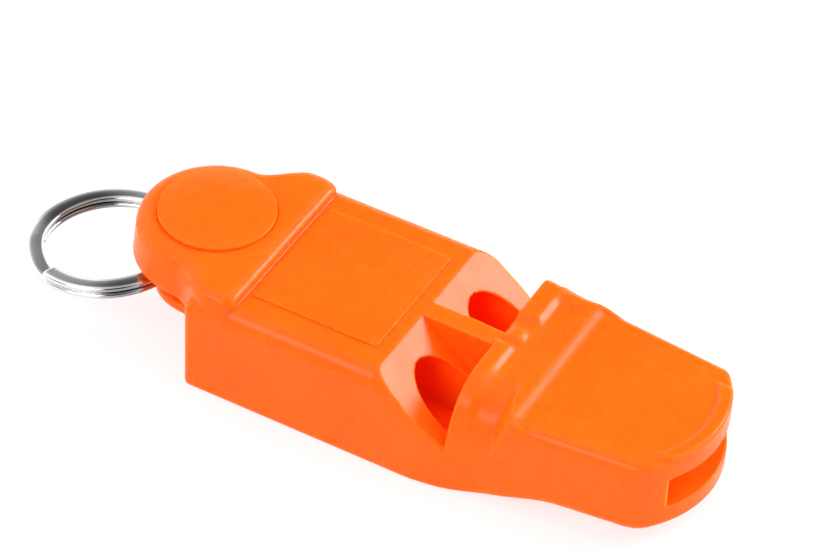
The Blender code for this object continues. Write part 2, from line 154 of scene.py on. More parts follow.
def new_piece(name: str, points: Array, faces: Array, body: CadBody, slot: Slot) -> bpy.types.Object:
    """Put millimetre points and faces into an object that rides on a CAD body.

    Args:
        name: Name of the piece.
        points: Corners, one row each, in millimetres.
        faces: Four corner numbers a row; a triangle repeats its last one.
        body: CAD body that carries the piece.
        slot: Material slot meant for the piece; not used.

    Returns:
        The object, at the origin.
    """
    mesh = bpy.data.meshes.new(name)
    whole = faces[:, 2] != faces[:, 3]
    corners = [list(map(int, row)) for row in faces[whole]]
    corners += [list(map(int, row[:3])) for row in faces[~whole]]
    mesh.from_pydata((points * MM).tolist(), [], corners)
    mesh.validate()
    thing = bpy.data.objects.new(name, mesh)
    bpy.context.scene.collection.objects.link(thing)
    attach(thing, body.value)
    LOG.info("%s: %d points, %d faces", name, len(points), len(faces))
    return thing


def shade(thing: bpy.types.Object, angle: float = 40.0) -> None:
    """Shade a piece smooth, with edges sharper than the angle left crisp."""
    thing.data.shade_smooth()
    thing.data.set_sharp_from_angle(angle=math.radians(angle))


def grid_faces(rows: int, columns: int, wrap_rows: bool = False, wrap_columns: bool = False) -> Array:
    """Quads of a grid of points numbered row by row.

    Args:
        rows: Number of rows.
        columns: Number of columns.
        wrap_rows: Whether the last row meets the first.
        wrap_columns: Whether the last column meets the first.

    Returns:
        Corner numbers, four a quad.
    """
    i = np.arange(rows if wrap_rows else rows - 1)
    j = np.arange(columns if wrap_columns else columns - 1)
    i, j = (part.ravel() for part in np.meshgrid(i, j, indexing="ij"))
    below, beside = (i + 1) % rows, (j + 1) % columns
    return np.stack([i * columns + j, i * columns + beside, below * columns + beside, below * columns + j], 1)


@dataclass(frozen=True)
class Contour:
    """Dual contouring of a field on a grid of unequal steps."""

    slopes: float = 0.01
    pull: float = 0.04
    sweeps: int = 7
    lean: float = 0.3
    batch: int = 200000

    def gradient(self, solid: Field, p: Array) -> Array:
        """Unit direction of steepest growth, by differences across a short step each way."""
        step = self.slopes
        parts = []
        for axis in range(3):
            shift = np.zeros(3)
            shift[axis] = step
            parts.append(solid(*(p + shift).T) - solid(*(p - shift).T))
        grown = np.stack(parts, 1)
        return grown / np.maximum(np.linalg.norm(grown, axis=1, keepdims=True), 1e-12)

    def crossing(self, solid: Field, inside: Array, outside: Array) -> Array:
        """Point of each edge where the field is zero: halving, then one straight step."""
        low, high = inside.copy(), outside.copy()
        for _ in range(self.sweeps):
            middle = (low + high) / 2
            within = (solid(*middle.T) < 0)[:, None]
            low, high = np.where(within, middle, low), np.where(within, high, middle)
        a, b = solid(*low.T), solid(*high.T)
        share = np.clip(a / np.where(np.abs(a - b) < 1e-12, 1, a - b), 0, 1)
        return low + (high - low) * share[:, None]

    def surface(self, solid: Field, axes: Sequence[Array]) -> tuple[Array, Array, Array]:
        """Mesh the field's zero level.

        Each grid edge that the surface crosses gives a point and a normal. Each cell gets one corner,
        which lies nearest to the planes of its edges' points, and each crossed edge a quad between the
        corners of its four cells.

        Args:
            solid: The field, negative inside.
            axes: Grid values along X, Y and Z.

        Returns:
            Corners, quads and one normal for each quad's corner.
        """
        shape = np.array([len(a) for a in axes])
        value = np.concatenate([solid(*np.meshgrid(axes[0][k:k + 16], axes[1], axes[2], indexing="ij"))
                                for k in range(0, shape[0], 16)])
        inside = value < 0
        cells = shape - 1
        count = int(cells.prod())
        tally = np.zeros((count, 13))
        quads = []
        for axis in range(3):
            ahead = np.roll(np.eye(3, dtype=int)[0], axis)
            head = [slice(None)] * 3
            tail = [slice(None)] * 3
            head[axis], tail[axis] = slice(0, -1), slice(1, None)
            crossed = np.argwhere(inside[tuple(head)] != inside[tuple(tail)])
            edge_low = np.stack([axes[k][crossed[:, k]] for k in range(3)], 1)
            after = crossed + ahead
            edge_high = np.stack([axes[k][after[:, k]] for k in range(3)], 1)
            starts_in = inside[tuple(crossed.T)]
            first = np.where(starts_in[:, None], edge_low, edge_high)
            second = np.where(starts_in[:, None], edge_high, edge_low)
            p = self.crossing(solid, first, second)
            n = self.gradient(solid, p)
            one, two = (axis + 1) % 3, (axis + 2) % 3
            ring = []
            for back_one, back_two in ((1, 1), (0, 1), (0, 0), (1, 0)):
                cell = crossed.copy()
                cell[:, one] -= back_one
                cell[:, two] -= back_two
                flat = np.ravel_multi_index(tuple(np.clip(cell, 0, cells - 1).T), tuple(cells))
                ring.append(flat)
                along = (n * p).sum(1)
                nx, ny, nz = n.T
                terms = [nx * nx, ny * ny, nz * nz, nx * ny, nx * nz, ny * nz,
                         nx * along, ny * along, nz * along, *p.T, np.ones(len(p))]
                for k, term in enumerate(terms):
                    tally[:, k] += np.bincount(flat, term, count)
            loop = np.stack(ring, 1)
            quads.append(np.where(starts_in[:, None], loop, loop[:, ::-1]))
        used = np.flatnonzero(tally[:, 12])
        rows = tally[used]
        middle = rows[:, 9:12] / rows[:, 12:]
        planes = rows[:, [0, 3, 4, 3, 1, 5, 4, 5, 2]].reshape(-1, 3, 3)
        aim = rows[:, 6:9] - np.einsum("nij,nj->ni", planes, middle)
        planes = planes + np.eye(3) * self.pull
        points = middle + np.linalg.solve(planes, aim[..., None])[..., 0]
        index = np.stack(np.unravel_index(used, tuple(cells)), 1)
        low = np.stack([axes[k][index[:, k]] for k in range(3)], 1)
        high = np.stack([axes[k][index[:, k] + 1] for k in range(3)], 1)
        points = np.clip(points, low, high)
        number = np.full(count, -1)
        number[used] = np.arange(len(used))
        faces = number[np.concatenate(quads)]
        return points, faces, self.corner_normals(solid, points, faces)

    def corner_normals(self, solid: Field, points: Array, faces: Array) -> Array:
        """Normal of each quad's corner, read a little way in towards the quad's middle."""
        centre = points[faces].mean(1, keepdims=True)
        at = between(points[faces], centre, self.lean).reshape(-1, 3)
        starts = range(0, len(at), self.batch)
        return np.concatenate([self.gradient(solid, at[k:k + self.batch]) for k in starts])


def graded(stops: Sequence[tuple[float, float]], end: float) -> Array:
    """Grid values from the first stop to the end, each stretch in equal steps no longer than its own.

    Args:
        stops: Start and longest step of each stretch.
        end: Last value.

    Returns:
        The grid values.
    """
    starts = [start for start, _ in stops] + [end]
    parts = [np.linspace(a, b, max(1, math.ceil((b - a) / step)), endpoint=False)
             for (a, step), b in zip(stops, starts[1:])]
    return np.concatenate([*parts, [end]])


# ---------------------------------------------------------------- whistle body


@dataclass
class WhistleBody:
    """The one-piece moulding: deck, sound notch, bridge, mouthpiece and key-ring lug."""

    low: Vector
    high: Vector
    deck_height: float = 10.4
    rear_x: float = -18.7
    deck_edge: float = 1.8
    base_edge: float = 0.5
    mouth_base_edge: float = 1.1
    rear_corner: float = 0.75
    notch_length: float = 7.15
    notch_depth: float = 5.6
    rib_half: float = 0.95
    rib_corner: float = 0.03
    notch_corner: float = 0.25
    bridge_length: float = 5.15
    near_shoulder: tuple[float, float] = (5.8, 6.0)
    far_shoulder: tuple[float, float] = (1.7, 1.4)
    shoulder_fade: tuple[float, float] = (10.9, 1.8)
    pad_raise: float = 0.42
    pad_end: float = 9.25
    near_pad_end: float = 8.8
    near_pad_start: float = 0.5
    far_pad_start: float = 3.2
    near_pad_reach: float = 8.2
    far_pad_reach: float = 8.7
    pad_soft: float = 0.9
    pad_end_soft: float = 1.5
    knob_y: float = 1.05
    knob_end: float = 9.0
    knob_raise: float = 0.36
    knob_half: float = 0.75
    knob_soft: float = 0.9
    relief_lead: float = 0.3
    valley: float = 0.16
    valley_start: float = 1.8
    valley_in: float = 1.3
    valley_out: float = 1.9
    valley_sides: tuple[float, float] = (6.2, 1.6)
    far_bulge: float = 0.28
    bulge_side: tuple[float, float] = (6.4, 1.6)
    bulge_rear: tuple[float, float] = (8.6, 0.9)
    bulge_front: tuple[float, float] = (10.9, 1.6)
    mouth_root_half: float = 8.8
    mouth_tip_half: float = 7.3
    mouth_step: float = 0.5
    mouth_step_run: float = 1.35
    mouth_step_reach: float = 7.9
    mouth_step_fade: float = 1.2
    mouth_step_spread: float = 5.0
    near_mouth_edge: float = 1.15
    far_mouth_edge: float = 0.8
    undercut: float = 2.05
    undercut_run: float = 11.0
    undercut_lead: float = 0.6
    tip_rise: float = 0.4
    tip_radius: float = 10.2
    tip_skew: float = 0.5
    tip_corner: float = 0.6
    tip_edge: float = 0.35
    tip_edge_drop: float = 2.6
    tip_edge_run: float = 1.2
    mouth_base_run: float = 6.0
    bite_raise: float = 0.3
    bite_width: float = 1.3
    bite_soft: float = 0.5
    bite_inset: float = 2.3
    bite_end: float = 0.6
    chamber_radius: float = 2.9
    chamber_y: float = 4.8
    chamber_height: float = 5.9
    near_chamber: float = 14.0
    far_chamber: float = 11.5
    near_slot_half: float = 5.2
    far_slot_half: float = 5.6
    slot_low: float = 4.35
    slot_high: float = 7.75
    slot_corner: float = 0.3
    bridge_wall: float = 1.2
    bore_stop: float = 0.02
    bore_edge: float = 0.1
    jet_height: float = 0.9
    jet_inset: float = 0.4
    jet_reach: tuple[float, float] = (0.6, 2.0)
    recess_rear: float = -16.5
    recess_front: float = 8.15
    recess_half: float = 8.9
    recess_depth: float = 1.7
    recess_overlap: float = 0.3
    lug_radius: float = 7.1
    lug_draft: float = 0.1
    lug_edge: float = 1.6
    lug_skew: float = -0.1
    lug_wide: float = 9.65
    lug_flare: float = 4.6
    ridge_foot: float = -14.1
    ridge_round: tuple[float, float] = (1.9, 1.1)
    ridge_edge: float = 0.9
    lug_root: tuple[float, float] = (0.6, 1.2)
    lug_root_rise: float = 1.9
    lug_under_edge: float = 0.35
    eye_low: float = 4.0
    eye_high: float = 7.25
    eye_plate: float = 1.0
    eye_radius: float = 5.1
    eye_setback: float = 1.5
    web_x: float = -21.3
    post_x: float = -26.45
    post_radius: float = 0.75
    eye_edge: float = 0.3
    eye_overlap: float = 0.5
    eye_root: float = 1.5
    eye_fillet: float = 0.4
    post_fillet: float = 0.25
    post_foot: float = 0.2
    badge_radius: float = 5.33
    badge_depth: float = 1.1
    badge_rim: float = 0.1
    lug_fillet: float = 0.15
    passage_edge: float = 0.2
    notch_edge: tuple[float, float] = (0.14, 0.35)
    notch_edge_run: tuple[float, float] = (4.5, 2.4)

    def __post_init__(self) -> None:
        """Places that follow from the CAD box and from other sizes."""
        self.tip_x = self.high.x / MM
        self.nose_x = self.low.x / MM
        self.lug_top = self.high.z / MM
        self.bridge_front = self.notch_length + self.bridge_length
        self.lug_centre = self.nose_x + self.lug_radius
        self.half = self.high.y / MM

    def half_width(self, x: Array) -> Array:
        """Half width in plan: full along the deck, eased in below the bridge, then a straight taper."""
        start = self.notch_length / 2
        eased = between(self.half, self.mouth_root_half, ease((x - start) / (self.bridge_front - start)))
        share = (x - self.bridge_front) / (self.tip_x - self.bridge_front)
        tapered = between(self.mouth_root_half, self.mouth_tip_half, share)
        return np.where(x < self.bridge_front, eased, tapered)

    def under_height(self, x: Array) -> Array:
        """Height of the underside: flat, an S-curve up behind the lip, and a slight rise to the tip."""
        start = self.notch_length - self.undercut_lead
        tail = np.maximum(0, (x - start - self.undercut_run) / (self.tip_x - self.bridge_front))
        return self.undercut * ease((x - start) / self.undercut_run) + self.tip_rise * tail

    def shoulder(self, x: Array, y: Array) -> tuple[Array, Array]:
        """Top corner's size across and down: small on the deck, large on the bridge, small at the mouth."""
        grow = np.clip(x / self.notch_length, 0, 1)
        start, run = self.shoulder_fade
        shrink = ease((x - start) / run)
        sizes = []
        for near, far in zip(self.near_shoulder, self.far_shoulder):
            bridge = np.where(y < 0, near, far)
            mouth = np.where(y < 0, self.near_mouth_edge, self.far_mouth_edge)
            sizes.append(between(between(self.deck_edge, bridge, grow), mouth, shrink))
        return sizes[0], sizes[1]

    def bridge_relief(self, x: Array, y: Array) -> Array:
        """Height added on the bridge: two rim pads, a knob between them, a shallow valley and a far bulge."""
        ay = np.abs(y)
        behind = x - self.notch_length
        soft, end_soft = self.pad_soft, self.pad_end_soft
        front = np.where(y < 0, self.near_pad_end, self.pad_end)
        reach = np.where(y < 0, self.near_pad_reach, self.far_pad_reach)
        near_start, far_start = self.near_pad_start - soft / 2, self.far_pad_start - soft / 2
        start = np.maximum(rise(-y, near_start, soft), rise(y, far_start, soft))
        pads = self.pad_raise * start * fall(x, front - soft / 2, soft)
        pads = pads * fall(ay, reach - end_soft / 2, end_soft)
        across = fall(np.abs(y - self.knob_y), self.knob_half - self.knob_soft / 2, self.knob_soft)
        knob = self.knob_raise * across * rise(behind, 0, self.knob_soft)
        knob = knob * fall(x, self.knob_end - soft / 2, soft)
        dip = rise(behind, self.valley_start, self.valley_in) * fall(ay, *self.valley_sides)
        dip = dip * fall(behind, self.valley_start + self.valley_in, self.valley_out)
        bulge = rise(y, *self.bulge_side) * rise(x, *self.bulge_rear) * fall(x, *self.bulge_front)
        raised = (pads + knob) * rise(behind, -self.relief_lead, self.relief_lead)
        return raised - self.valley * dip + self.far_bulge * bulge

    def top_height(self, x: Array, y: Array) -> Array:
        """Height of the top face, with the bridge's relief, the step and the bite lip at the tip."""
        spread = rise(np.abs(y), self.mouth_step_reach, self.mouth_step_fade)
        run = self.mouth_step_run + self.mouth_step_spread * spread
        step = self.mouth_step * ease((x - self.bridge_front) / run)
        behind = -self.tip_face(x, y)
        lip = self.bite_raise * fall(np.abs(y), self.mouth_tip_half - self.bite_inset, self.bite_end)
        lip = lip * fall(behind, self.bite_width - self.bite_soft / 2, self.bite_soft)
        lip = np.where(x > (self.bridge_front + self.tip_x) / 2, lip, 0)
        return self.deck_height - step + lip + self.bridge_relief(x, y)

    def tip_face(self, x: Array, y: Array) -> Array:
        """Distance in front of the tip's arc, which is part of a circle in plan."""
        reach = np.sqrt(np.maximum(self.tip_radius**2 - (y - self.tip_skew)**2, 4.0))
        return (x - self.tip_x + self.tip_radius - reach) * reach / self.tip_radius

    def envelope(self, x: Array, y: Array, z: Array) -> Array:
        """Deck, bridge and mouthpiece as one solid, without lug or cuts."""
        ay = np.abs(y)
        plan = meet(ay - self.half_width(x), self.rear_x - x, self.rear_corner)
        across, down = self.shoulder(x, y)
        side = plan / across
        crown = (z - self.top_height(x, y)) / down
        wide, tall = np.maximum(1 + side, 1e-9), np.maximum(1 + crown, 1e-9)
        scale = np.hypot(wide, tall) / np.hypot(wide / across, tall / down)
        shell = meet(side, crown, 1.0) * scale
        eased = rise(x, self.bridge_front, self.mouth_base_run)
        below = between(self.base_edge, self.mouth_base_edge, eased)
        shell = meet(shell, self.under_height(x) - z, below)
        near_top = rise(z, self.deck_height - self.tip_edge_drop, self.tip_edge_run)
        edge = between(self.tip_corner, self.tip_edge, near_top)
        return meet(shell, self.tip_face(x, y), edge)

    def lug_plan(self, x: Array, y: Array, z: Array) -> Array:
        """Distance outside the lug in plan: a round nose, then sides that flare out to the deck."""
        radius = self.lug_radius + self.lug_draft * (self.deck_height - z)
        flare = radius + (self.lug_wide - radius) * ease((x - self.lug_centre) / self.lug_flare)
        across = y - self.lug_skew
        nose = np.hypot(x - self.lug_centre, across) - radius
        return np.where(x < self.lug_centre, nose, np.abs(across) - flare)

    def lug(self, x: Array, y: Array, z: Array) -> Array:
        """Upper plate, whose front face is the sloping ridge across the deck."""
        along, down = self.ridge_round
        wide = np.maximum(1 + (x - self.ridge_foot) / along, 0)
        tall = np.maximum(1 + (z - self.lug_top) / down, 0)
        ridge = (np.hypot(wide, tall) - 1) * min(along, down)
        plate = meet(self.lug_plan(x, y, z), z - self.lug_top, self.lug_edge)
        plate = meet(plate, ridge, self.ridge_edge)
        under = self.eye_high + self.lug_root_rise * rise(x - self.rear_x, *self.lug_root)
        return meet(plate, under - z, self.lug_under_edge)

    def eye(self, x: Array, y: Array, z: Array) -> Array:
        """Lower plate and web behind the open slot, and the post that the ring hangs on."""
        centre = self.nose_x + self.eye_setback + self.eye_radius
        low = self.eye_low - self.eye_plate
        plan = np.where(x < centre, np.hypot(x - centre, y), np.abs(y)) - self.eye_radius
        front, top = self.rear_x + self.eye_root, self.eye_high + self.eye_overlap
        plate = meet(meet(plan, x - front, 0.1), slab(z, low, self.eye_low), self.eye_edge)
        web = meet(np.maximum(plan, slab(x, self.web_x, front)), slab(z, low, top), self.eye_edge)
        post = np.hypot(x - self.post_x, y) - self.post_radius
        post = np.maximum(post, slab(z, low + self.post_foot, top))
        return join(join(plate, web, self.eye_fillet), post, self.post_fillet)

    def notch(self, x: Array, y: Array, z: Array) -> Array:
        """Cut on both sides of the rib, with a sloping floor and the bridge's rear wall."""
        steep = math.atan2(self.notch_depth, self.notch_length)
        above = x * math.sin(steep) + (z - self.deck_height) * math.cos(steep)
        cut = meet(-above, x - self.notch_length, self.notch_corner)
        return meet(cut, self.rib_half - np.abs(y), self.rib_corner)

    def passages(self, x: Array, y: Array, z: Array) -> Array:
        """Chambers with their wells, the mouth passage, the jets and the recess for the base cover."""
        ay = np.abs(y)
        length = np.where(y > 0, self.far_chamber, self.near_chamber)
        bore = np.hypot(ay - self.chamber_y, np.maximum(z - self.chamber_height, 0)) - self.chamber_radius
        bore = np.maximum(bore, self.recess_depth - self.recess_overlap - z)
        bore = meet(bore, slab(x, -length, self.notch_length - self.bore_stop), self.bore_edge)
        slot_half = np.where(y < 0, self.near_slot_half, self.far_slot_half)
        mouth = meet(ay - slot_half, slab(z, self.slot_low, self.slot_high), self.slot_corner)
        mouth = np.maximum(mouth, self.notch_length + self.bridge_wall - x)
        behind, ahead = self.jet_reach
        jet = slab(ay, self.rib_half + self.jet_inset, self.near_slot_half)
        jet = np.maximum(jet, slab(z, self.slot_high - self.jet_height, self.slot_high))
        jet = np.maximum(jet, slab(x, self.notch_length - behind, self.notch_length + ahead))
        recess = np.maximum(slab(x, self.recess_rear, self.recess_front), ay - self.recess_half)
        recess = np.maximum(recess, z - self.recess_depth)
        return np.minimum(np.minimum(bore, mouth), np.minimum(jet, recess))

    def solid(self, x: Array, y: Array, z: Array) -> Array:
        """The whole moulding."""
        whole = join(self.envelope(x, y, z), self.lug(x, y, z), self.lug_fillet)
        whole = join(whole, self.eye(x, y, z), self.eye_fillet)
        pocket = np.hypot(x - self.lug_centre, y) - self.badge_radius
        pocket = np.maximum(pocket, self.lug_top - self.badge_depth - z)
        whole = carve(whole, pocket, self.badge_rim)
        soften = between(*self.notch_edge, rise(x, *self.notch_edge_run))
        whole = carve(whole, self.notch(x, y, z), soften)
        return carve(whole, self.passages(x, y, z), self.passage_edge)

    def build(self) -> bpy.types.Object:
        """Mesh the field, with finer steps where it turns quickly, and give it the field's own normals."""
        x = graded([(self.nose_x - 0.6, 0.25), (-26.0, 0.36), (-15.7, 0.17), (-13.4, 0.6), (-0.5, 0.16),
                    (1.4, 0.16), (6.4, 0.16), (9.8, 0.22), (11.8, 0.17), (13.4, 0.5), (25.6, 0.2)],
                   self.tip_x + 0.6)
        y = graded([(-self.half - 0.4, 0.22), (-7.9, 0.18), (7.9, 0.22)], self.half + 0.4)
        z = graded([(-0.45, 0.28), (4.2, 0.18), (9.3, 0.14)], self.lug_top + 0.4)
        points, faces, normals = Contour().surface(self.solid, (x, y, z))
        thing = new_piece("whistle_body", points, faces, CadBody.WHISTLE, Slot.PLASTIC)
        thing.data.shade_smooth()
        thing.data.normals_split_custom_set(normals.tolist())
        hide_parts("body")
        return thing


# ---------------------------------------------------------------- pad, badge, cover and insert


def rounded_plate(outline: Outline, low: float, high: float, edge: float) -> tuple[Array, Array]:
    """Plate from rings of an outline: up the wall, round the top edge, then in to the middle.

    Args:
        outline: Gives the plan points of the outline drawn in by an inset, for shares 0 to 1 round it.
        low: Height of its underside.
        high: Height of its top.
        edge: Radius of its top edge.

    Returns:
        Points and quads of the closed plate.
    """
    turns = np.radians(np.linspace(0, 90, 7))
    insets = [edge * 0.0, *(edge * (1 - np.cos(turns)))]
    heights = [low, *(high - edge * (1 - np.sin(turns)))]
    share = np.linspace(0, 1, 240, endpoint=False)
    rings = [np.column_stack([outline(share, inset), np.full(len(share), height)])
             for inset, height in zip(insets, heights)]
    middle_low = np.append(outline(share, 0).mean(0), low)
    middle_high = np.append(outline(share, 0).mean(0), high)
    count = len(share)
    points = np.concatenate([*rings, [middle_low, middle_high]])
    faces = grid_faces(len(rings), count, wrap_columns=True)
    around = np.arange(count)
    after = (around + 1) % count
    under = np.stack([np.full(count, len(points) - 2), after, around, around], 1)
    top = (len(rings) - 1) * count
    over = np.stack([np.full(count, len(points) - 1), top + around, top + after, top + after], 1)
    return points, np.concatenate([faces, under, over])


def rectangle(x0: float, x1: float, half: float, corner: float) -> Outline:
    """Outline of a rectangle with rounded corners, anticlockwise from above.

    Args:
        x0: Rear edge.
        x1: Front edge.
        half: Half its width.
        corner: Corner radius.

    Returns:
        A function of shares round the outline and an inset, which gives plan points.
    """

    def outline(share: Array, inset: float) -> Array:
        """Each quarter runs along half a side, round a corner arc, and along half the next side."""
        radius = max(corner - inset, 0.01)
        long, wide = (x1 - x0) / 2 - inset - radius, half - inset - radius
        turn = share * 4
        quarter = np.floor(turn).astype(int) % 4
        arc = np.radians(90 * np.clip((turn - np.floor(turn) - 0.2) / 0.6, 0, 1) + 90 * quarter)
        slide = turn - np.floor(turn)
        sx = np.array([1, -1, -1, 1])[quarter]
        sy = np.array([1, 1, -1, -1])[quarter]
        odd = quarter % 2 == 1
        first, last = np.clip(1 - slide / 0.2, 0, 1), np.clip((slide - 0.8) / 0.2, 0, 1)
        back_x = np.where(odd, first, last) * long
        back_y = np.where(odd, last, first) * wide
        px = (x0 + x1) / 2 + sx * (long - back_x) + radius * np.cos(arc)
        py = sy * (wide - back_y) + radius * np.sin(arc)
        return np.column_stack([px, py])

    return outline


@dataclass
class LabelPad:
    """Thin raised panel on the deck, left blank."""

    deck_height: float = 10.4
    rear_x: float = -13.75
    front_x: float = -1.23
    half: float = 6.65
    corner: float = 0.35
    raised: float = 0.13
    foot: float = 0.3
    edge: float = 0.08

    def build(self) -> bpy.types.Object:
        """A low plate with its foot just under the deck."""
        outline = rectangle(self.rear_x, self.front_x, self.half, self.corner)
        top = self.deck_height + self.raised
        points, faces = rounded_plate(outline, self.deck_height - self.foot, top, self.edge)
        pad = new_piece("label_pad", points, faces, CadBody.WHISTLE, Slot.PLASTIC)
        shade(pad)
        return pad


@dataclass
class BaseCover:
    """Cover welded into the recess below the chambers."""

    low: Vector
    high: Vector
    gap: float = 0.22
    corner: float = 0.5
    edge: float = 0.25

    def build(self) -> bpy.types.Object:
        """The plate is made face up, then turned over so that its rounded edge shows below."""
        x0, x1 = self.low.x / MM - self.gap, self.high.x / MM + self.gap
        half = self.high.y / MM + self.gap
        thick = (self.high.z - self.low.z) / MM
        points, faces = rounded_plate(rectangle(x0, x1, half, self.corner), 0.0, thick, self.edge)
        points[:, 2] = self.high.z / MM - points[:, 2]
        cover = new_piece("chamber_cover", points, flipped(faces), CadBody.WHISTLE, Slot.PLASTIC)
        shade(cover)
        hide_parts("base_cover")
        return cover


def flipped(faces: Array) -> Array:
    """The same quads and triangles with the other side out."""
    turned = faces[:, ::-1].copy()
    triangles = faces[:, 2] == faces[:, 3]
    turned[triangles] = faces[triangles][:, [0, 2, 1, 1]]
    return turned


@dataclass
class Badge:
    """Blank domed disc set in the lug."""

    low: Vector
    high: Vector
    rim_edge: float = 0.12
    crown: float = 0.55

    def build(self) -> bpy.types.Object:
        """A turned profile: a wall, a rounded rim and a dome that is part of a sphere."""
        radius = (self.high.x - self.low.x) / 2 / MM
        centre = (self.high.x + self.low.x) / 2 / MM
        floor, top = self.low.z / MM, self.high.z / MM
        rim = top - self.crown
        ball = (radius**2 + self.crown**2) / (2 * self.crown)
        inner = np.linspace(0, radius - self.rim_edge, 40)
        dome = np.column_stack([inner, rim - ball + self.crown + np.sqrt(ball**2 - inner**2)])
        last = dome[-1]
        turn = np.radians(np.linspace(0, 90, 9))[1:]
        edge = np.column_stack([last[0] + self.rim_edge * np.sin(turn),
                                last[1] - self.rim_edge * (1 - np.cos(turn))])
        profile = np.concatenate([dome[1:], edge, [[radius, floor]]])
        around = np.linspace(0, 2 * np.pi, 160, endpoint=False)
        rings = np.stack([centre + np.outer(profile[:, 0], np.cos(around)),
                          np.outer(profile[:, 0], np.sin(around)),
                          np.repeat(profile[:, 1:], len(around), 1)], 2)
        count = len(around)
        points = np.concatenate([rings.reshape(-1, 3), [[centre, 0, top], [centre, 0, floor]]])
        faces = flipped(grid_faces(len(profile), count, wrap_columns=True))
        k = np.arange(count)
        after = (k + 1) % count
        base = (len(profile) - 1) * count
        cap = np.stack([np.full(count, len(points) - 2), k, after, after], 1)
        foot = np.stack([np.full(count, len(points) - 1), base + after, base + k, base + k], 1)
        faces = np.concatenate([faces, cap, foot])
        badge = new_piece("badge", points, faces, CadBody.WHISTLE, Slot.PLASTIC)
        shade(badge)
        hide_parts("badge_disc")
        return badge


# ---------------------------------------------------------------- split ring


@dataclass
class SplitRing:
    """Two turns of one flattened wire, with a crossing where the turns change places."""

    low: Vector
    high: Vector
    radius: float = 6.77
    wide: float = 1.62
    tall: float = 0.64
    gap: float = 0.03
    squareness: float = 0.72
    end_round: float = 0.25
    end_least: float = 0.55
    centre_height: float = 5.28
    droop: float = 6.8
    roll: float = -2.0
    crossing: float = 225.0
    run: float = 0.13

    def section(self, count: int) -> tuple[Array, Array]:
        """Outline between an ellipse and a rectangle: cosine and sine are raised to a power below 1."""
        turn = np.linspace(0, 2 * np.pi, count, endpoint=False)
        c, s = np.cos(turn), np.sin(turn)
        across = np.sign(c) * np.abs(c) ** self.squareness * self.wide / 2
        return across, np.sign(s) * np.abs(s) ** self.squareness * self.tall / 2

    def build(self) -> bpy.types.Object:
        """Carry the section round two turns, raise it by one wire where they cross, and close both ends."""
        steps, around = 360, 40
        share = np.linspace(self.run / 2, 2 - self.run / 2, 2 * steps + 1)
        turn = math.radians(self.crossing) - 2 * np.pi * share
        pitch = self.tall + self.gap
        height = pitch * (ease((share - 1 + self.run / 2) / self.run) - 0.5)
        across, up = self.section(around)
        ends = (np.minimum(share, 2 - share) - self.run / 2) * 2 * np.pi * self.radius
        inward = np.clip(ends / self.end_round, 0, 1)
        round_off = np.maximum(np.sqrt(inward * (2 - inward)), self.end_least)
        radial = self.radius + np.outer(round_off, across)
        lifted = height[:, None] + np.outer(round_off, up)
        c, s = np.cos(turn)[:, None], np.sin(turn)[:, None]
        points = np.stack([radial * c, radial * s, lifted], 2).reshape(-1, 3)
        faces = grid_faces(len(share), around, wrap_columns=True)
        last = (len(share) - 1) * around
        points = np.concatenate([points, [points[:around].mean(0), points[last:last + around].mean(0)]])
        k = np.arange(around)
        after = (k + 1) % around
        head = np.stack([np.full(around, len(points) - 2), after, k, k], 1)
        tail = np.stack([np.full(around, len(points) - 1), last + k, last + after, last + after], 1)
        drooped = Matrix.Rotation(-math.radians(self.droop), 3, "Y")
        tilt = drooped @ Matrix.Rotation(math.radians(self.roll), 3, "X")
        points = points @ np.array(tilt).T + self.middle()
        faces = np.concatenate([faces, head, tail])
        ring = new_piece("key_ring_wire", points, faces, CadBody.KEY_RING, Slot.STEEL)
        shade(ring, 50)
        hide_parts("split_ring")
        return ring

    def middle(self) -> Array:
        """Middle of the CAD ring in plan, at the dressed ring's own height."""
        centre = (self.low + self.high) / 2 / MM
        return np.array([centre.x, centre.y, self.centre_height])


# ---------------------------------------------------------------- shader graphs


class Signal:
    """A shader socket, or a number, whose arithmetic adds Math nodes to its graph."""

    def __init__(self, graph: "Graph", link: object) -> None:
        """Keep the graph and the socket."""
        self.graph = graph
        self.link = link

    def _math(self, operation: str, *values: object) -> "Signal":
        """Add one Math node."""
        return self.graph.node("ShaderNodeMath", {"operation": operation}, dict(enumerate(values)))

    def __add__(self, other: object) -> "Signal":
        """Sum."""
        return self._math("ADD", self, other)

    def __sub__(self, other: object) -> "Signal":
        """Difference."""
        return self._math("SUBTRACT", self, other)

    def __rsub__(self, other: object) -> "Signal":
        """Difference from a number."""
        return self._math("SUBTRACT", other, self)

    def __mul__(self, other: object) -> "Signal":
        """Product."""
        return self._math("MULTIPLY", self, other)

    def power(self, exponent: float) -> "Signal":
        """This value raised to a power."""
        return self._math("POWER", self, exponent)

    def clamped(self, low: float, high: float) -> "Signal":
        """This value carried from low..high to 0..1 along a smooth step."""
        ranged = {"interpolation_type": "SMOOTHSTEP"}
        sockets = {"Value": self, "From Min": low, "From Max": high}
        return self.graph.node("ShaderNodeMapRange", ranged, sockets)

    __radd__ = __add__
    __rmul__ = __mul__


